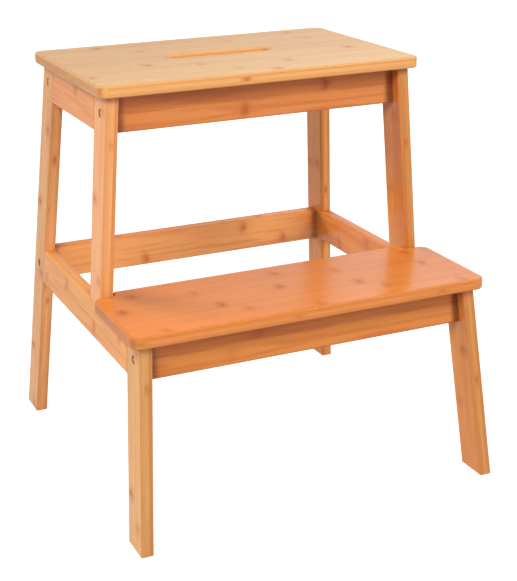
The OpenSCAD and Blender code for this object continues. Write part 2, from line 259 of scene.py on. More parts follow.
def makeGrainGroup():
    # Fibres, streaks, knuckles and glue lines of laminated bamboo
    group, given, result = makeGroup(
        "bambooGrain",
        [
            ("Blank", "Vector", None), ("Strip", "Float", 0.0), ("Ply", "Float", 0.0),
            ("Across", "Float", 0.5), ("Through", "Float", 0.5),
            ("Strip Width", "Float", 0.0225), ("Ply Depth", "Float", 0.005),
            ("Knuckle Start", "Float", 0.0), ("Knuckle Pitch", "Float", 0.19),
            ("Knuckle Depth", "Float", 0.5), ("Strip Tone", "Float", 0.5),
            ("Strip Contrast", "Float", 0.3), ("Ply Fade", "Float", 0.0),
            ("Streak", "Float", 0.2), ("Seed", "Float", 0.0),
            ("Pale", "Color", None), ("Deep", "Color", None), ("Ring", "Color", None),
        ],
        [("Colour", "Color"), ("Roughness", "Float"), ("Height", "Float")],
    )

    def plus(first, second, clamp=False):
        return calc(group, "ADD", first, second, clamp=clamp)

    def minus(first, second):
        return calc(group, "SUBTRACT", first, second)

    def times(first, second, clamp=False):
        return calc(group, "MULTIPLY", first, second, clamp=clamp)

    def chance(x, y, z):
        node = group.nodes.new("ShaderNodeTexWhiteNoise")
        group.links.new(joinVector(group, x, y, z), node.inputs["Vector"])
        return node.outputs

    along, wide, deep = splitVector(group, given["Blank"])
    slip = plus(times(given["Strip"], figure["stripSlip"]), times(given["Ply"], figure["plySlip"]))

    def grainNoise(kind, shift=None):
        # Noise drawn out along the strip and broken at its edges
        noise = figure[kind]
        lengthways = plus(times(along, noise["along"]), slip)
        if shift:
            lengthways = plus(lengthways, shift)
        vector = joinVector(
            group, lengthways, times(wide, noise["across"]), times(deep, noise["across"]),
        )
        value = noiseValue(group, vector, noise["detail"], noise["roughness"])
        return fadeBetween(group, value, *noise["edges"]) if "edges" in noise else value

    fine = grainNoise("fibre")
    bundle = grainNoise("bundle")
    broad = grainNoise("broad")
    streak = grainNoise("streak", given["Seed"])

    # Knuckles: a stain with a thin bowed ring, at a steady pitch along each strip
    knuckleShape = figure["knuckle"]
    stripChance = splitColour(group, chance(given["Strip"], given["Ply"], given["Seed"])["Color"])
    shift = times(minus(stripChance[1], 0.5), knuckleShape["offCentre"])
    bowed = minus(given["Across"], plus(0.5, shift))
    bow = times(times(bowed, bowed), knuckleShape["bow"])
    slant = times(times(bowed, minus(stripChance[2], 0.5)), knuckleShape["slant"])
    waverVector = joinVector(
        group, given["Strip"], times(wide, knuckleShape["waverAcross"]), knuckleShape["waverPlane"],
    )
    waver = times(minus(noiseValue(group, waverVector, 2), 0.5), knuckleShape["waver"])
    plyShift = times(times(given["Ply"], given["Knuckle Pitch"]), knuckleShape["plyShift"])
    bend = plus(plyShift, plus(waver, plus(bow, slant)))
    run = plus(minus(along, given["Knuckle Start"]), bend)
    cell = calc(group, "FLOOR", plus(calc(group, "DIVIDE", run, given["Knuckle Pitch"]), 0.5))
    distance = minus(run, times(cell, given["Knuckle Pitch"]))
    luck = chance(cell, given["Strip"], plus(given["Seed"], knuckleShape["luckSeed"]))["Value"]
    strength = plus(knuckleShape["least"], times(luck, knuckleShape["spread"]))
    strength = times(strength, given["Knuckle Depth"])
    ring = times(bell(group, distance, knuckleShape["ringWidth"]), knuckleShape["ring"])
    stain = times(
        bell(group, plus(distance, knuckleShape["stainBack"]), knuckleShape["stainWidth"]),
        plus(knuckleShape["stain"], times(fine, knuckleShape["stainFibre"])),
    )
    middle = bell(group, bowed, knuckleShape["halfWidth"])
    knuckle = times(times(plus(ring, stain), middle), strength, clamp=True)

    # Glue lines between strips and between plies
    edgeAcross = times(calc(group, "PINGPONG", given["Across"], 0.5), given["Strip Width"])
    edgeThrough = times(given["Through"], given["Ply Depth"])
    plyLine = times(bell(group, edgeThrough, figure["glue"]["plyWidth"]), figure["glue"]["ply"])
    glue = calc(group, "MAXIMUM", bell(group, edgeAcross, figure["glue"]["width"]), plyLine)

    # How far each point lies from pale to deep, then the darker marks over it
    share = plus(given["Strip Tone"], times(minus(stripChance[0], 0.5), given["Strip Contrast"]))
    share = plus(share, times(given["Ply"], given["Ply Fade"]))
    share = plus(share, times(minus(fine, 0.5), figure["colour"]["fibre"]))
    share = plus(share, times(minus(broad, 0.5), figure["colour"]["broad"]), clamp=True)
    colour = blendColour(group, share, given["Pale"], given["Deep"])
    for mark in (
        times(streak, given["Streak"]), times(bundle, figure["colour"]["bundle"]),
        times(glue, figure["colour"]["glue"]), knuckle,
    ):
        colour = blendColour(group, mark, colour, given["Ring"])
    feed(group, result["Colour"], colour)

    matt, relief = figure["roughness"], figure["height"]
    roughness = plus(times(fine, matt["fibre"]), times(glue, matt["glue"]))
    feed(group, result["Roughness"], plus(roughness, times(knuckle, matt["knuckle"])))
    height = minus(times(fine, relief["fibre"]), times(glue, relief["glue"]))
    feed(group, result["Height"], minus(height, times(bundle, relief["bundle"])))
    return group


def makeStainAndShadeGroup():
    # How the stained lacquer takes on end grain, with painted light and shade on the narrower faces
    # and at rail ends, and eased edges darkened partly by stain and partly as painted shade
    group, given, result = makeGroup(
        "lacquerStainAndPaintedShade",
        [
            ("Colour", "Color", None), ("Blank", "Vector", None), ("Facing", "Vector", None),
            ("Painted Side Light", "Color", None), ("End Tint", "Color", None),
            ("Joint Shade At", "Float", 1.0), ("Joint Shade Fade", "Float", 0.01),
            ("Joint Shade Tint", "Color", None), ("Edge Stain And Shade", "Float", 0.0), ("Edge Stain Colour", "Color", None),
        ],
        [("Colour", "Color")],
    )
    turnedFrom, turnedTo = 0.5, 0.9  # how square to an axis a face stands

    def squareTo(part):
        return fadeBetween(group, calc(group, "ABSOLUTE", part), turnedFrom, turnedTo)

    facing = splitVector(group, given["Facing"])
    # Painted light and shade: every face except the broad ones takes the side tint, set for how the
    # light falls on it
    sides = blendColour(group, squareTo(facing["Z"]), given["Painted Side Light"], (1, 1, 1, 1))
    colour = tintColour(group, given["Colour"], sides)
    ends = tintColour(group, colour, given["End Tint"])
    colour = blendColour(group, squareTo(facing["X"]), colour, ends)
    # Painted shade: both ends of the blank, beyond a set distance from its middle, go darker where
    # a rail meets the legs
    reach = calc(group, "ABSOLUTE", splitVector(group, given["Blank"])["X"])
    jointShadeEnd = calc(group, "ADD", given["Joint Shade At"], given["Joint Shade Fade"])
    near = fadeBetween(group, reach, given["Joint Shade At"], jointShadeEnd)
    colour = blendColour(group, near, colour, tintColour(group, colour, given["Joint Shade Tint"]))
    # Eased edges go towards the deep colour: partly stain soaked into the sanded edges, partly
    # painted shade that dims the light they catch
    colour = blendColour(group, given["Edge Stain And Shade"], colour, given["Edge Stain Colour"])
    feed(group, result["Colour"], colour)
    return group


stripGroup = makeStripGroup()
grainGroup = makeGrainGroup()
stainAndShadeGroup = makeStainAndShadeGroup()
lacquer = {"ior": 1.5, "coatRoughness": 0.2, "grainRelief": 0.35, "grainDepth": 0.0002}


def onBlank(tree, source, place, shift=(0, 0, 0)):
    # Turns a vector to the blank: x along the grain, y across the strips, z through the plies
    node = tree.nodes.new("ShaderNodeMapping")
    node.vector_type = "TEXTURE"
    node.inputs["Location"].default_value = shift
    node.inputs["Rotation"].default_value = place.to_euler()
    tree.links.new(source, node.inputs["Vector"])
    return node.outputs[0]


def stripTable(tree, strip, strips):
    # One stop for each strip: where its knuckles start and their pitch, its tone, their depth
    table = tree.nodes.new("ShaderNodeValToRGB")
    table.color_ramp.interpolation = "CONSTANT"
    stops = table.color_ramp.elements
    while len(stops) < len(strips):
        stops.new(len(stops) / len(strips))
    while len(stops) > len(strips):
        stops.remove(stops[-1])
    for number, (start, pitch, tone, depth) in enumerate(strips):
        stops[number].position = number / len(strips)
        stops[number].color = (start % pitch, pitch, tone, depth)
    feed(tree, table.inputs[0], calc(tree, "FRACT", calc(tree, "DIVIDE", strip, len(strips))))
    start, pitch, tone = splitColour(tree, table.outputs["Color"])
    return {
        "Knuckle Start": start, "Knuckle Pitch": pitch, "Strip Tone": tone,
        "Knuckle Depth": table.outputs["Alpha"],
    }


def bambooMaterial(name, place, look):
    # place is the matrix of the blank, taken at the face that its strips are counted on
    material, tree, surface = principled(name)
    coordinates = tree.nodes.new("ShaderNodeTexCoord").outputs
    blank = onBlank(tree, coordinates["Object"], place, place.translation)
    widths = {"Strip Width": look["stripWidth"], "Ply Depth": look["plyDepth"]}
    found = placeGroup(tree, stripGroup, {"Blank": blank, **widths})
    strip = calc(tree, "ADD", found["Strip"], look["firstStrip"] + 0.5)

    def tinted(key):
        return opaque(channel * part for channel, part in zip(look[key], look["tint"]))

    grain = placeGroup(tree, grainGroup, {
        "Blank": blank, **{label: found[label] for label in ("Strip", "Ply", "Across", "Through")},
        **widths, **stripTable(tree, strip, look["strips"]),
        "Strip Contrast": look["stripContrast"], "Ply Fade": look["plyFade"],
        "Streak": look["streak"], "Seed": look["seed"],
        "Pale": tinted("pale"), "Deep": tinted("deep"), "Ring": tinted("ring"),
    })
    eased = tree.nodes.new("ShaderNodeAttribute")
    eased.attribute_name = "eased"
    stain = placeGroup(tree, stainAndShadeGroup, {
        "Colour": grain["Colour"], "Blank": blank,
        "Facing": onBlank(tree, coordinates["Normal"], place),
        "Painted Side Light": opaque(look["paintedSideLight"]), "End Tint": opaque(look["endTint"]),
        "Joint Shade At": look["jointShadeAt"], "Joint Shade Fade": look["jointShadeFade"],
        "Joint Shade Tint": opaque(look["jointShadeTint"]),
        "Edge Stain And Shade": calc(tree, "MULTIPLY", eased.outputs["Fac"], look["edgeStainAndShade"]),
        "Edge Stain Colour": tinted("deep"),
    })
    bump = tree.nodes.new("ShaderNodeBump")
    bump.inputs["Strength"].default_value = lacquer["grainRelief"]
    bump.inputs["Distance"].default_value = lacquer["grainDepth"]
    feed(tree, bump.inputs["Height"], grain["Height"])
    for label, value in (
        ("Base Color", stain["Colour"]),
        ("Roughness", calc(tree, "ADD", grain["Roughness"], look["roughness"])),
        ("Normal", bump.outputs[0]),
        ("IOR", lacquer["ior"]),
        ("Coat Weight", look["coat"]),
        ("Coat Roughness", lacquer["coatRoughness"]),
    ):
        feed(tree, surface[label], value)
    return material


# Mesh helpers
square = {"along": 0.98, "end": 0.85}  # how nearly an edge runs, or a face looks, along the grain


def cutEnds(bm, cuts):
    # Saws the blank at each plane and closes it; the normal points at the waste
    for point, normal in cuts:
        sawn = bmesh.ops.bisect_plane(
            bm, geom=bm.verts[:] + bm.edges[:] + bm.faces[:],
            plane_co=point, plane_no=normal, clear_outer=True,
        )
        rim = [part for part in sawn["geom_cut"] if isinstance(part, bmesh.types.BMEdge)]
        bmesh.ops.holes_fill(bm, edges=rim, sides=0)


def easeEdges(bm, edges, radius, segments, mark):
    made = bmesh.ops.bevel(
        bm, geom=edges, offset=radius, segments=segments, profile=0.5,
        affect="EDGES", material=-1, loop_slide=False,
    )
    for face in made["faces"]:
        face[mark] = 1


def beam(size, place, cuts, grain):
    # A blank placed by its matrix, sawn to its cuts, then eased along the grain and at its ends
    bm = bmesh.new()
    mark = bm.faces.layers.float.new("eased")
    bmesh.ops.create_cube(bm, size=1, matrix=place @ Matrix.Diagonal((*size, 1)))
    cutEnds(bm, cuts)
    grain = grain.normalized()

    def alongGrain(edge):
        run = (edge.verts[0].co - edge.verts[1].co).normalized()
        return abs(run.dot(grain)) > square["along"]

    edges = [edge for edge in bm.edges if alongGrain(edge)]
    easeEdges(bm, edges, stool["ease"], stool["easeSegments"], mark)
    ends = [face for face in bm.faces if abs(face.normal.dot(grain)) > square["end"]]
    rims = dict.fromkeys(edge for face in ends for edge in face.edges)
    easeEdges(bm, list(rims), stool["sawnEase"], stool["sawnSegments"], mark)
    return bm


def newPiece(name, bm, material, node):
    bmesh.ops.recalc_face_normals(bm, faces=bm.faces[:])
    mesh = bpy.data.meshes.new(name)
    bm.to_mesh(mesh)
    bm.free()
    mesh.shade_smooth()
    mesh.set_sharp_from_angle(angle=stool["sharpAngle"])
    piece = bpy.data.objects.new(name, mesh)
    scene.collection.objects.link(piece)
    mesh.materials.append(material)
    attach(piece, "root")
    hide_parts(node)
    weighted = piece.modifiers.new("faceNormals", "WEIGHTED_NORMAL")
    weighted.keep_sharp = True
    return piece


def drill(piece, bit):
    # Takes the bit's shape out of the piece and leaves a plain mesh
    bmesh.ops.recalc_face_normals(bit, faces=bit.faces[:])
    mesh = bpy.data.meshes.new("cutter")
    bit.to_mesh(mesh)
    bit.free()
    tool = bpy.data.objects.new("cutter", mesh)
    scene.collection.objects.link(tool)
    bore = piece.modifiers.new("bore", "BOOLEAN")
    bore.operation = "DIFFERENCE"
    bore.solver = "EXACT"
    bore.object = tool
    with bpy.context.temp_override(object=piece, active_object=piece, selected_objects=[piece]):
        bpy.ops.object.modifier_move_to_index(modifier="bore", index=0)
        bpy.ops.object.modifier_apply(modifier="bore")
    bpy.data.objects.remove(tool)
    bpy.data.meshes.remove(mesh)
    piece.data.set_sharp_from_angle(angle=stool["sharpAngle"])


# Looks of the bamboo, lengths in metres and colours in linear values. Each strip has four:
# where its knuckles start along the blank, their pitch, its tone from pale to deep, their depth.
frameLook = {
    "stripWidth": 0.0215, "plyDepth": 0.005, "firstStrip": 1,
    "pale": (0.82, 0.387, 0.132), "deep": (0.642, 0.222, 0.057), "ring": (0.47, 0.094, 0.013),
    # The side tint is painted light and shade on the narrower faces, the joint tint painted shade
    # at rail ends, and eased edges darken partly by stain and partly as painted shade
    "paintedSideLight": (1, 1, 1), "endTint": (0.86, 0.77, 0.72),
    "stripContrast": 0.2, "plyFade": 0.0, "streak": 0.2, "seed": 1.0,
    "jointShadeAt": 1.0, "jointShadeFade": 0.01, "jointShadeTint": (0.5, 0.45, 0.55),  # at 1 m there is no joint
    "edgeStainAndShade": 0.6, "roughness": 0.23, "coat": 0.2,
}
railLook = {
    **frameLook, "stripWidth": 0.0225, "pale": (0.783, 0.34, 0.113), "deep": (0.66, 0.226, 0.057),
    "streak": 0.35, "edgeStainAndShade": 0.4,
}
boardLook = {
    **frameLook, "stripWidth": 0.023, "plyDepth": 0.00467, "firstStrip": 0,
    "pale": (0.845, 0.465, 0.199), "deep": (0.69, 0.33, 0.12), "ring": (0.51, 0.132, 0.021),
    "stripContrast": 0.35, "streak": 0.1, "edgeStainAndShade": 1.0, "seed": 4.0,
}
faceLift = Matrix.Translation((0, 0, 0.00001))  # keeps the face clear of the end of its first ply


def facePlace(place):
    return place @ Matrix.Translation((0, 0, thickness / 2)) @ faceLift


# Cross rail joints in a side frame: (y, slope height, lean), which the screws follow
apronBlank = stool["railHeight"] + thickness * sin(railLean)
apronDrop = apronBlank / 2 * cos(railLean) - thickness / 2 * sin(railLean)
crossRailDrop = stool["railHeight"] / 2 * cos(railLean) + thickness / 2 * sin(railLean)


def jointOn(level, lean):
    slope = slopeHeight(level, thickness)
    y = {0: upperLegY, 1: rearLegY(slope), -1: -rearLegY(slope)}[lean]
    return y, slope, lean * rake


joints = {
    "upperFront": jointOn(topLow.z - stool["railHeight"] / 2, 0),
    "upperRear": jointOn(topLow.z - apronDrop, 1),
    "lowerFront": jointOn(stepLow.z - apronDrop, -1),
    "rearCross": jointOn(stepLow.z - crossRailDrop, 1),
}
screw = {
    "recess": 0.0008, "gap": 0.0001, "length": 0.05, "shankRadius": 0.0035, "segments": 24,
    "headRadius": 0.005, "head": 0.003, "headBack": 0.0003, "chamfer": 0.0005,
    "socket": 0.004, "socketDepth": 0.0024, "socketRim": 0.0003, "socketRimDepth": 0.0002,
    "socketCuts": 3,
}


def jointMatrix(side, joint):
    # x points out of the stool along the screw, from the frame's outer face
    y, slope, lean = joint
    seat = frameMatrix(side) @ Matrix.Translation((0, y, slope)) @ Matrix.Rotation(lean, 4, "X")
    return seat @ Matrix.Rotation(pi if side < 0 else 0, 4, "Z")


cutter = {"segments": 32, "over": 0.002, "shankStart": 0.001, "shankEnd": 0.02}


def steppedBit(place):
    # A pocket for the screw's head and a clear hole for its shank
    bm = bmesh.new()
    headRadius, shankRadius = (screw[key] + screw["gap"] for key in ("headRadius", "shankRadius"))
    for radius, deep, shallow in (
        (headRadius, screw["recess"] + screw["head"], -cutter["over"]),
        (shankRadius, cutter["shankEnd"], cutter["shankStart"]),
    ):
        middle = Matrix.Translation((-(deep + shallow) / 2, 0, 0))
        bmesh.ops.create_cone(
            bm, cap_ends=True, segments=cutter["segments"], radius1=radius, radius2=radius,
            depth=deep - shallow, matrix=place @ middle @ Matrix.Rotation(pi / 2, 4, "Y"),
        )
    return bm


# Legs
legBlank = 1.3
# Each side's tint, side tint and strip tones are partly the leg's own tone and partly painted light
# and shade: the left legs paler, the right ones deeper
legSet = {
    "rearLeg": {
        "node": "rear_leg", "y": rearLegFootY, "lean": rake, "low": 0.0, "high": topLow.z,
        "joints": ("upperRear", "rearCross"),
        "left": {
            "tint": (0.97, 1.05, 1.09), "paintedSideLight": (1.15, 1.14, 1.18), "plyFade": 0.02,
            "strips": ((0.21, 0.2, 0.25, 0.7), (0.093, 0.213, 0.3, 0.9)),
        },
        "right": {
            "tint": (0.905, 0.8, 0.48), "paintedSideLight": (1.12, 1.28, 1.6), "plyFade": -0.2,
            "strips": ((0.319, 0.21, 0.6, 0.9), (0.11, 0.205, 0.6, 0.5)),
        },
    },
    "upperFrontLeg": {
        "node": "upper_front_leg", "y": upperLegY, "lean": 0.0, "low": stepLow.z, "high": topLow.z,
        "joints": ("upperFront",),
        "left": {
            "tint": (1.15, 1.21, 1.46), "paintedSideLight": (0.92, 1.02, 1.0), "plyFade": 0.25,
            "strips": ((0.47, 0.2, 0.3, 0.5), (0.365, 0.21, 0.3, 0.7)),
        },
        "right": {
            "tint": (0.98, 0.92, 0.67), "paintedSideLight": (0.88, 0.99, 1.12), "plyFade": -0.25,
            "strips": ((0.43, 0.19, 0.95, 0.5), (0.33, 0.21, 0.65, 0.4)),
        },
    },
    "lowerFrontLeg": {
        "node": "lower_front_leg", "y": -rearLegFootY, "lean": -rake, "low": 0.0, "high": stepLow.z,
        "joints": ("lowerFront",),
        "left": {
            "tint": (0.96, 1.06, 1.0), "paintedSideLight": (0.92, 0.99, 1.08), "plyFade": 0.4,
            "strips": ((0.03, 0.2, 0.2, 0.5), (0.064, 0.2, 0.25, 1.0)),
        },
        "right": {
            "tint": (0.96, 0.88, 0.69), "paintedSideLight": (0.89, 0.98, 0.96), "plyFade": 0.0,
            "strips": ((0.162, 0.2, 0.5, 0.6), (0.09, 0.2, 0.5, 0.4)),
        },
    },
}
for kind, leg in legSet.items():
    for side, word in sideWord.items():
        middle = Matrix.Translation((-side * thickness / 2, leg["y"], 0))
        stand = frameMatrix(side) @ middle @ Matrix.Rotation(leg["lean"], 4, "X")
        place = stand @ Matrix.Rotation(-pi / 2, 4, "Y")
        name = kind + word.capitalize()
        look = {**frameLook, **leg[word], "seed": frameLook["seed"] + side + len(kind)}
        material = bambooMaterial(name + "Bamboo", facePlace(place), look)
        cuts = [((0, 0, leg["low"]), (0, 0, -1)), ((0, 0, leg["high"]), (0, 0, 1))]
        blank = (legBlank, stool["legWidth"], thickness)
        bm = beam(blank, place, cuts, stand.to_3x3() @ Vector((0, 0, 1)))
        piece = newPiece(name, bm, material, leg["node"] + "_" + word)
        for joint in leg["joints"]:
            drill(piece, steppedBit(jointMatrix(side, joints[joint])))
print("legs made")

# Side rails, with one look for each side: the left ones paler and the right ones deeper, partly
# their own tone and partly painted light and shade
sideRailBlank = {"length": 0.7, "height": 0.06, "seed": 11.0}
sideRails = {
    "topSideRail": {
        "node": "top_side_rail", "high": topLow.z, "frontLean": 0.0,
        "frontY": upperLegY + stool["legWidth"] / 2,
        "left": {
            "tint": (1.1, 1.1, 1.13), "strips": ((0.05, 0.2, 0.4, 0.6), (-0.04, 0.2, 0.4, 0.6)),
        },
        "right": {
            "tint": (1.0, 0.9, 0.72), "strips": ((0.02, 0.2, 0.5, 0.6), (-0.07, 0.2, 0.5, 0.6)),
        },
    },
    "lowerSideRail": {
        "node": "lower_side_rail", "high": stepLow.z, "frontLean": -rake,
        "frontY": legLevelWidth - stool["footHalfDepth"],
        "left": {
            "tint": (1.12, 1.19, 1.04), "strips": ((0.05, 0.2, 0.5, 0.6), (-0.06, 0.2, 0.4, 0.6)),
        },
        "right": {
            "tint": (1.0, 0.84, 0.55), "strips": ((0.09, 0.2, 0.5, 0.6), (-0.03, 0.2, 0.5, 0.6)),
        },
    },
}
alongFrame = Matrix(((0, 0, -1), (-1, 0, 0), (0, 1, 0))).to_4x4()  # face left, grain forwards

for kind, rail in sideRails.items():
    for side, word in sideWord.items():
        turned = frameMatrix(side)
        low = rail["high"] - stool["railHeight"]
        middle = slopeHeight(rail["high"] - stool["railHeight"] / 2, thickness / 2)
        place = turned @ Matrix.Translation((-side * thickness / 2, 0, middle)) @ alongFrame
        cuts = [((0, 0, low), (0, 0, -1)), ((0, 0, rail["high"]), (0, 0, 1))]
        for y, lean, back in (
            (stool["footHalfDepth"] - legLevelWidth, rake, 1),
            (rail["frontY"], rail["frontLean"], -1),
        ):
            waste = turned.to_3x3() @ Vector((0, back * cos(lean), back * sin(lean)))
            cuts.append((turned @ Vector((0, y, 0)), waste))
        name = kind + word.capitalize()
        look = {**railLook, **rail[word], "seed": sideRailBlank["seed"] + side + len(kind)}
        material = bambooMaterial(name + "Bamboo", facePlace(place), look)
        blank = (sideRailBlank["length"], sideRailBlank["height"], thickness)
        bm = beam(blank, place, cuts, turned.to_3x3() @ Vector((0, 1, 0)))
        newPiece(name, bm, material, rail["node"] + "_" + word)
print("side rails made")

# Cross rails: an apron is cut level under its board, and painted shade darkens each rail where it
# meets the legs
crossRailBlank = {"length": 0.5, "over": 0.01, "seed": 21.0}
crossRails = {
    "upperFrontApron": {
        "node": "upper_front_apron", "joint": "upperFront", "level": topLow.z,
        "tint": (0.85, 0.72, 0.57), "jointShadeAt": 0.1655,
        "strips": ((-0.018, 0.23, 0.25, 0.85), (0.0875, 0.3, 0.5, 0.8)),
    },
    "upperRearApron": {
        "node": "upper_rear_apron", "joint": "upperRear", "level": topLow.z,
        "tint": (1, 0.92, 0.75), "jointShadeAt": 0.1655,
        "strips": ((0.03, 0.22, 0.5, 0.8), (-0.07, 0.21, 0.5, 0.8)),
    },
    "lowerFrontApron": {
        "node": "lower_front_apron", "joint": "lowerFront", "level": stepLow.z,
        "tint": (0.84, 0.68, 0.37), "jointShadeAt": 0.1855,
        "strips": ((-0.1, 0.42, 0.25, 0.25), (-0.064, 0.42, 0.6, 0.5)),
    },
    "rearCrossRail": {
        "node": "rear_cross_rail", "joint": "rearCross", "level": None,
        # Its tint is raised well above the others: partly a paler tone, partly painted light where
        # the lamps reach it less
        "tint": (1.22, 1.3, 1.28), "jointShadeAt": 0.1855,
        "strips": ((-0.064, 0.21, 0.5, 0.85), (0.082, 0.2, 0.5, 0.65)),
    },
}
for name, rail in crossRails.items():
    y, slope, lean = joints[rail["joint"]]
    lean = (lean > 0) * railLean - (lean < 0) * railLean
    height = slope * cos(splay) - thickness * sin(splay)
    place = Matrix.Translation((0, y, height)) @ Matrix.Rotation(pi / 2 + lean, 4, "X")
    cuts = []
    for side in sideWord:
        turned = frameMatrix(side)
        innerFace = turned @ Vector((-side * thickness, 0, 0))
        cuts.append((innerFace, turned.to_3x3() @ Vector((side, 0, 0))))
    wide, over = stool["railHeight"], 0.0
    if lean and rail["level"]:
        wide, over = apronBlank, crossRailBlank["over"]
        cuts.append(((0, 0, rail["level"]), (0, 0, 1)))
    look = {**railLook, **rail, "seed": crossRailBlank["seed"] + len(name)}
    material = bambooMaterial(name + "Bamboo", facePlace(place), look)
    shifted = place @ Matrix.Translation((0, over / 2, 0))
    bm = beam((crossRailBlank["length"], wide + over, thickness), shifted, cuts, Vector((1, 0, 0)))
    newPiece(name, bm, material, rail["node"])
print("cross rails made")

# Boards
boardShape = {
    "cornerRadius": 0.012, "cornerSegments": 10, "ease": 0.0025, "easeSegments": 5,
    "weld": 0.00003, "mirrorWeld": 0.00001, "even": 1e-6, "onMiddle": 1e-5, "foldedOver": 0.5,
}


def roundedBoard(corners, top, depth):
    # Right half of a board: outline corners as (x, y, radius), then mirrored over x = 0
    bm = bmesh.new()
    mark = bm.faces.layers.float.new("eased")
    verts = [bm.verts.new((x, y, top)) for x, y, radius in corners]
    bm.faces.new(verts)
    for vert, (x, y, radius) in zip(verts, corners):
        if radius:
            bmesh.ops.bevel(
                bm, geom=[vert], offset=radius, segments=boardShape["cornerSegments"],
                profile=0.5, affect="VERTICES", material=-1,
            )
    bmesh.ops.remove_doubles(bm, verts=bm.verts[:], dist=boardShape["weld"])
    made = bmesh.ops.extrude_face_region(bm, geom=bm.faces[:], use_keep_orig=True)
    lower = [part for part in made["geom"] if isinstance(part, bmesh.types.BMVert)]
    bmesh.ops.translate(bm, verts=lower, vec=(0, 0, -depth))

    # The wall on the mirror's plane goes; the rims are the level edges between a face and a wall
    seam = [
        face for face in bm.faces
        if all(abs(vert.co.x) < boardShape["even"] for vert in face.verts)
    ]
    bmesh.ops.delete(bm, geom=seam, context="FACES")

    def onRim(edge):
        if len(edge.link_faces) != 2:
            return False
        rise = edge.verts[0].co.z - edge.verts[1].co.z
        fold = edge.link_faces[0].normal.z - edge.link_faces[1].normal.z
        return abs(rise) < boardShape["even"] and abs(fold) > boardShape["foldedOver"]

    rims = [edge for edge in bm.edges if onRim(edge)]
    easeEdges(bm, rims, boardShape["ease"], boardShape["easeSegments"], mark)
    for vert in bm.verts:
        if abs(vert.co.x) < boardShape["onMiddle"]:
            vert.co.x = 0
    bmesh.ops.mirror(
        bm, geom=bm.verts[:] + bm.edges[:] + bm.faces[:], axis="X",
        merge_dist=boardShape["mirrorWeld"],
    )
    return bm


slot = {"halfLength": 0.07, "width": 0.025, "back": 0.01, "flatEnd": 0.00001}
slotY = (topLow.y + topHigh.y) / 2 + slot["back"]
slotFront, slotRear = slotY - slot["width"] / 2, slotY + slot["width"] / 2
slotRadius = slot["width"] / 2 - slot["flatEnd"]
topCorners = [
    (0, topLow.y, 0), (topHigh.x, topLow.y, boardShape["cornerRadius"]),
    (topHigh.x, topHigh.y, boardShape["cornerRadius"]), (0, topHigh.y, 0),
    (0, slotRear, 0), (slot["halfLength"], slotRear, slotRadius),
    (slot["halfLength"], slotFront, slotRadius), (0, slotFront, 0),
]
topLook = {
    **boardLook, "tint": (0.98, 1.035, 0.93), "paintedSideLight": (0.94, 0.82, 0.72),
    "strips": (  # from the front to the back
        # The tones deepen from the front strips to the back ones: painted shade, darker towards the
        # back
        (0.019, 0.25, 0.15, 0.75), (-0.019, 0.25, 0.15, 0.4), (0.054, 0.246, 0.2, 0.6),
        (-0.051, 0.26, 0.3, 0.5), (-0.109, 0.27, 0.35, 0.75), (0.01, 0.25, 0.4, 0.1),
        (-0.16, 0.25, 0.45, 0.1), (0.1, 0.24, 0.5, 0.1), (-0.083, 0.231, 0.5, 0.45),
        (0.044, 0.25, 0.5, 0.45), (-0.126, 0.27, 0.5, 0.6), (0.02, 0.25, 0.5, 0.2),
    ),
}
tongue = {"gap": 0.0015, "cornerRadius": 0.005, "notchRadius": 0.001}
notchY = upperLegFront - tongue["gap"]
innerX = stool["footHalfWidth"] - thickness / cos(splay) - stepHigh.z * tan(splay)
tongueX = innerX - tongue["gap"]
stepCorners = [
    (0, stepLow.y, 0), (stepHigh.x, stepLow.y, boardShape["cornerRadius"]),
    (stepHigh.x, notchY, boardShape["cornerRadius"]), (tongueX, notchY, tongue["notchRadius"]),
    (tongueX, stepHigh.y, tongue["cornerRadius"]), (0, stepHigh.y, 0),
]
stepLook = {
    **boardLook, "seed": 7.0, "pale": (0.85, 0.325, 0.118), "deep": (0.65, 0.25, 0.084),
    "tint": (0.965, 0.785, 0.4), "paintedSideLight": (0.91, 0.98, 1.1),
    "strips": (  # from the front to the back
        # The tones deepen from the front strips to the back ones under the top board: painted shade
        (0.009, 0.188, 0.1, 0.5), (-0.071, 0.178, 0.15, 0.5), (-0.095, 0.177, 0.4, 1.0),
        (-0.01, 0.195, 0.6, 1.0), (-0.109, 0.184, 0.7, 0.75), (0.004, 0.183, 0.75, 0.85),
        (0.06, 0.186, 0.8, 0.4),
    ),
}
for name, node, slotName, corners, low, high, look in (
    ("topBoard", "top_board", "bamboo_top", topCorners, topLow, topHigh, topLook),
    ("stepBoard", "step_board", "bamboo_step", stepCorners, stepLow, stepHigh, stepLook),
):
    place = Matrix.Translation((0, low.y, high.z)) @ faceLift
    material = bambooMaterial(name + "Bamboo", place, look)
    bm = roundedBoard(corners, high.z, high.z - low.z)
    newPiece(name, bm, material, node)
print("boards made")

# Fasteners
zincFinish = {
    "pale": (0.66, 0.42, 0.2), "dark": (0.42, 0.24, 0.11),
    "scale": 900, "detail": 3, "roughness": 0.25, "spread": 0.2,
}
beechFinish = {
    "pale": (0.72, 0.5, 0.29), "dark": (0.55, 0.34, 0.17),
    "scale": 1500, "detail": 2, "roughness": 0.7,
}


def mottled(name, finish):
    # Two tones of one finish, with the noise between them to use again
    material, tree, surface = principled(name)
    coordinates = tree.nodes.new("ShaderNodeTexCoord").outputs["Object"]
    noise = noiseValue(tree, coordinates, finish["detail"], scale=finish["scale"])
    tone = blendColour(tree, noise, opaque(finish["pale"]), opaque(finish["dark"]))
    feed(tree, surface["Base Color"], tone)
    return material, tree, surface, noise


zinc, tree, surface, noise = mottled("yellowZinc", zincFinish)
spread = calc(tree, "MULTIPLY", noise, zincFinish["spread"])
feed(tree, surface["Roughness"], calc(tree, "ADD", spread, zincFinish["roughness"]))
surface["Metallic"].default_value = 1
dowelWood, tree, surface, noise = mottled("dowelBeech", beechFinish)
surface["Roughness"].default_value = beechFinish["roughness"]


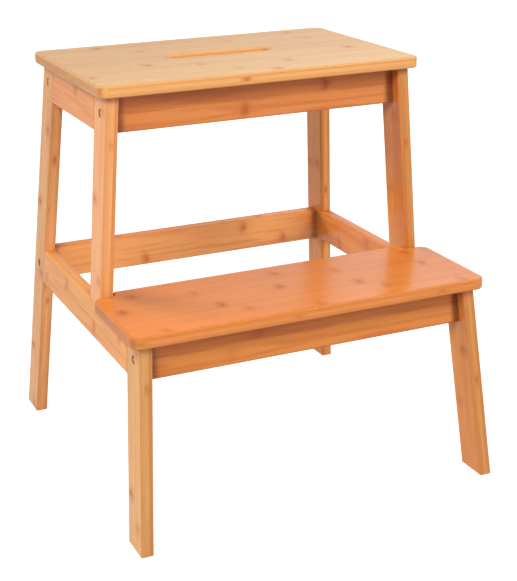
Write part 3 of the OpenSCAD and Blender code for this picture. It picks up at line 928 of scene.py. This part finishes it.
def addScrew(bm, place):
    # Lofted along -x: chamfered head with a hexagon socket, then a plain shank
    turned = place @ Matrix.Rotation(pi / 2, 4, "Y")

    def ringAt(radius, depth, segments):
        made = bmesh.ops.create_circle(
            bm, segments=segments, radius=radius,
            matrix=turned @ Matrix.Translation((0, 0, -screw["recess"] - depth)),
        )
        return list(dict.fromkeys(edge for vert in made["verts"] for edge in vert.link_edges))

    socketRadius = screw["socket"] / 2 / cos(pi / 6)
    headRadius, shankRadius = screw["headRadius"], screw["shankRadius"]
    rings = []
    for depth in (screw["socketDepth"], screw["socketRimDepth"]):
        edges = ringAt(socketRadius, depth, 6)
        made = bmesh.ops.subdivide_edges(bm, edges=edges, cuts=screw["socketCuts"])
        ring = (part for part in made["geom"] if isinstance(part, bmesh.types.BMEdge))
        rings.append(list(dict.fromkeys(ring)))
    for radius, depth in (
        (socketRadius + screw["socketRim"], 0.0), (headRadius - screw["chamfer"], 0.0),
        (headRadius, screw["chamfer"]), (headRadius, screw["head"]),
        (shankRadius, screw["head"] + screw["headBack"]),
        (shankRadius, screw["length"] - shankRadius), (shankRadius / 3, screw["length"]),
    ):
        rings.append(ringAt(radius, depth, screw["segments"]))
    for first, second in zip(rings, rings[1:]):
        bmesh.ops.bridge_loops(bm, edges=first + second)
    for ring in (rings[0], rings[-1]):
        bmesh.ops.contextual_create(bm, geom=ring)


bm = bmesh.new()
for side in sideWord:
    for joint in joints.values():
        addScrew(bm, jointMatrix(side, joint))
newPiece("connectingScrewSet", bm, zinc, "connecting_screws")

# Hidden fasteners keep their solids
for node, material in (
    ("cross_rail_dowels", dowelWood), ("side_rail_dowels", dowelWood),
    ("leg_foot_dowels", dowelWood), ("top_board_screws", zinc), ("step_board_screws", zinc),
):
    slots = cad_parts[node].data.materials
    slots.clear()
    slots.append(material)
print("fasteners made")

# Lights: a place in metres and a power in watts, or for a distant one its bearing from the
# front to the right, its height over the floor and its spread, all three in degrees
lookAt = Vector((0, 0, 0.25))
distantReach = 3
lamps = {
    "leftFrontLight": {"place": (-0.9, -1.1, 1.4), "size": 0.6, "power": 11.0},
    "rightFrontLight": {"place": (0.9, -1.1, 1.4), "size": 0.6, "power": 10.1},
    "topLight": {"place": (0, -0.4, 2.7), "size": 1.2, "power": 8.1},
    "leftLight": {"place": (-2.8, -0.2, 1.7), "size": 1.2, "power": 4.2},
    "highLeftLight": {"bearing": -55, "height": 35, "spread": 25, "strength": 0.85},
    "sideLight": {"bearing": -65, "height": 20, "spread": 25, "strength": 0.25},
    "lowRightLight": {"bearing": 36, "height": 19, "spread": 20, "strength": 0.69},
    "highRightLight": {"bearing": 36, "height": 32, "spread": 22, "strength": 0.64},
    "backLeftLight": {"bearing": -145, "height": 30, "spread": 30, "strength": 2.5},
}


def areaLight(name, settings):
    lamp = bpy.data.lights.new(name, "AREA")
    lamp.shape = "DISK"
    lamp.size = settings["size"]
    lamp.energy = settings["power"]
    return lamp, Vector(settings["place"])


def distantLight(name, settings):
    lamp = bpy.data.lights.new(name, "SUN")
    lamp.angle = radians(settings["spread"])
    lamp.energy = settings["strength"]
    turn, lift = radians(settings["bearing"]), radians(settings["height"])
    return lamp, distantReach * Vector((sin(turn) * cos(lift), -cos(turn) * cos(lift), sin(lift)))


for name, settings in lamps.items():
    lamp, position = (areaLight if "place" in settings else distantLight)(name, settings)
    holder = bpy.data.objects.new(name, lamp)
    holder.location = position
    holder.rotation_euler = (lookAt - position).to_track_quat("-Z", "Y").to_euler()
    holder.visible_glossy = False
    scene.collection.objects.link(holder)


def byRay(tree, seen, gloss):
    # One strength for what the camera sees directly, one for reflections, and none as a light
    path = tree.nodes.new("ShaderNodeLightPath").outputs
    shine = calc(tree, "MAXIMUM", path["Is Glossy Ray"], path["Is Transmission Ray"])
    direct = calc(tree, "MULTIPLY", path["Is Camera Ray"], seen)
    return calc(tree, "ADD", direct, calc(tree, "MULTIPLY", shine, gloss))


# Reflected surroundings: an even band above the floor, and higher up a bright panel at the
# right with a dim wall beside it. Strengths, and in degrees where one fades into the next.
surroundings = {
    "band": 0.54, "wall": 0.32, "panel": 1.15,
    "bandEdge": (11, 19), "panelEdge": (17, 32), "panelEnd": (100, 150),
}
world = bpy.data.worlds.new("studio")
scene.world = world
world.use_nodes = True
tree = world.node_tree
background = tree.nodes["Background"].inputs
background["Color"].default_value = (1, 1, 1, 1)
compass = splitVector(tree, tree.nodes.new("ShaderNodeTexCoord").outputs["Generated"])
height = calc(tree, "DEGREES", calc(tree, "ARCSINE", compass["Z"]))
bearing = calc(tree, "DEGREES", calc(tree, "ARCTAN2", compass["X"], compass["Y"]))
raised = fadeBetween(tree, height, *surroundings["bandEdge"])
panel = fadeBetween(tree, bearing, *surroundings["panelEdge"])
panel = calc(tree, "SUBTRACT", panel, fadeBetween(tree, bearing, *surroundings["panelEnd"]))
overWall = surroundings["panel"] - surroundings["wall"]
upper = calc(tree, "MULTIPLY_ADD", panel, overWall, surroundings["wall"])
upper = calc(tree, "SUBTRACT", upper, surroundings["band"])
gloss = calc(tree, "MULTIPLY_ADD", raised, upper, surroundings["band"])
feed(tree, background["Strength"], byRay(tree, 1.0, gloss))

# Floor: it glows a little less round the stool, where the lamps bring it back to white
floorLook = {
    "size": 14.0, "colour": 0.5, "roughness": 0.9,
    "seen": 0.8, "seenFar": 1.0, "nearEdge": 1.1, "farEdge": 2.2, "gloss": 0.1,
}
bm = bmesh.new()
bmesh.ops.create_grid(bm, x_segments=1, y_segments=1, size=floorLook["size"] / 2)
floorMesh = bpy.data.meshes.new("floor")
bm.to_mesh(floorMesh)
bm.free()
floor = bpy.data.objects.new("floor", floorMesh)
floor.location.z = cadLow.z
scene.collection.objects.link(floor)
floorPaint, tree, surface = principled("floorPaint")
surface["Base Color"].default_value = opaque([floorLook["colour"]] * 3)
surface["Roughness"].default_value = floorLook["roughness"]
surface["Specular IOR Level"].default_value = 0.0
surface["Emission Color"].default_value = (1, 1, 1, 1)
distance = tree.nodes.new("ShaderNodeVectorMath")
distance.operation = "LENGTH"
feed(tree, distance.inputs[0], tree.nodes.new("ShaderNodeTexCoord").outputs["Object"])
fade = tree.nodes.new("ShaderNodeMapRange")
fade.interpolation_type = "SMOOTHSTEP"
for label, key in (
    ("From Min", "nearEdge"), ("From Max", "farEdge"), ("To Min", "seen"), ("To Max", "seenFar"),
):
    fade.inputs[label].default_value = floorLook[key]
feed(tree, fade.inputs["Value"], distance.outputs["Value"])
glow = byRay(tree, fade.outputs["Result"], floorLook["gloss"])
feed(tree, surface["Emission Strength"], glow)
floorMesh.materials.append(floorPaint)
floor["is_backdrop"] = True

# Camera: it looks at the target, then slides in its own plane; the focal length is in
# widths of the sensor, and the distances are in metres
view = {
    "yaw": radians(24.01), "pitch": radians(-19.56), "roll": radians(-0.84),
    "target": (0, -0.035, 0.25), "distance": 1.6324, "right": -0.0094, "up": -0.0195,
    "focal": 2.251, "sensor": 36, "shiftX": 0.0215, "shiftY": -0.0181,
}
yaw, pitch, roll = view["yaw"], view["pitch"], view["roll"]
forward = Vector((sin(yaw) * cos(pitch), cos(yaw) * cos(pitch), sin(pitch)))
across = Vector((cos(yaw), -sin(yaw), 0))
upward = across.cross(forward)
eye = Vector(view["target"]) - forward * view["distance"]
eye += across * view["right"] + upward * view["up"]
rolledRight = across * cos(roll) + upward * sin(roll)
rolledUp = upward * cos(roll) - across * sin(roll)
lens = bpy.data.cameras.new("camera")
lens.sensor_fit = "AUTO"
lens.sensor_width = view["sensor"]
lens.lens = view["focal"] * view["sensor"]
lens.shift_x = view["shiftX"]
lens.shift_y = view["shiftY"]
camera = bpy.data.objects.new("camera", lens)
camera.matrix_world = Matrix((rolledRight, rolledUp, -forward)).transposed().to_4x4()
camera.matrix_world.translation = eye
scene.collection.objects.link(camera)
scene.camera = camera
scene.view_settings.view_transform = "Standard"
print("stage and camera set")

low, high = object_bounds()
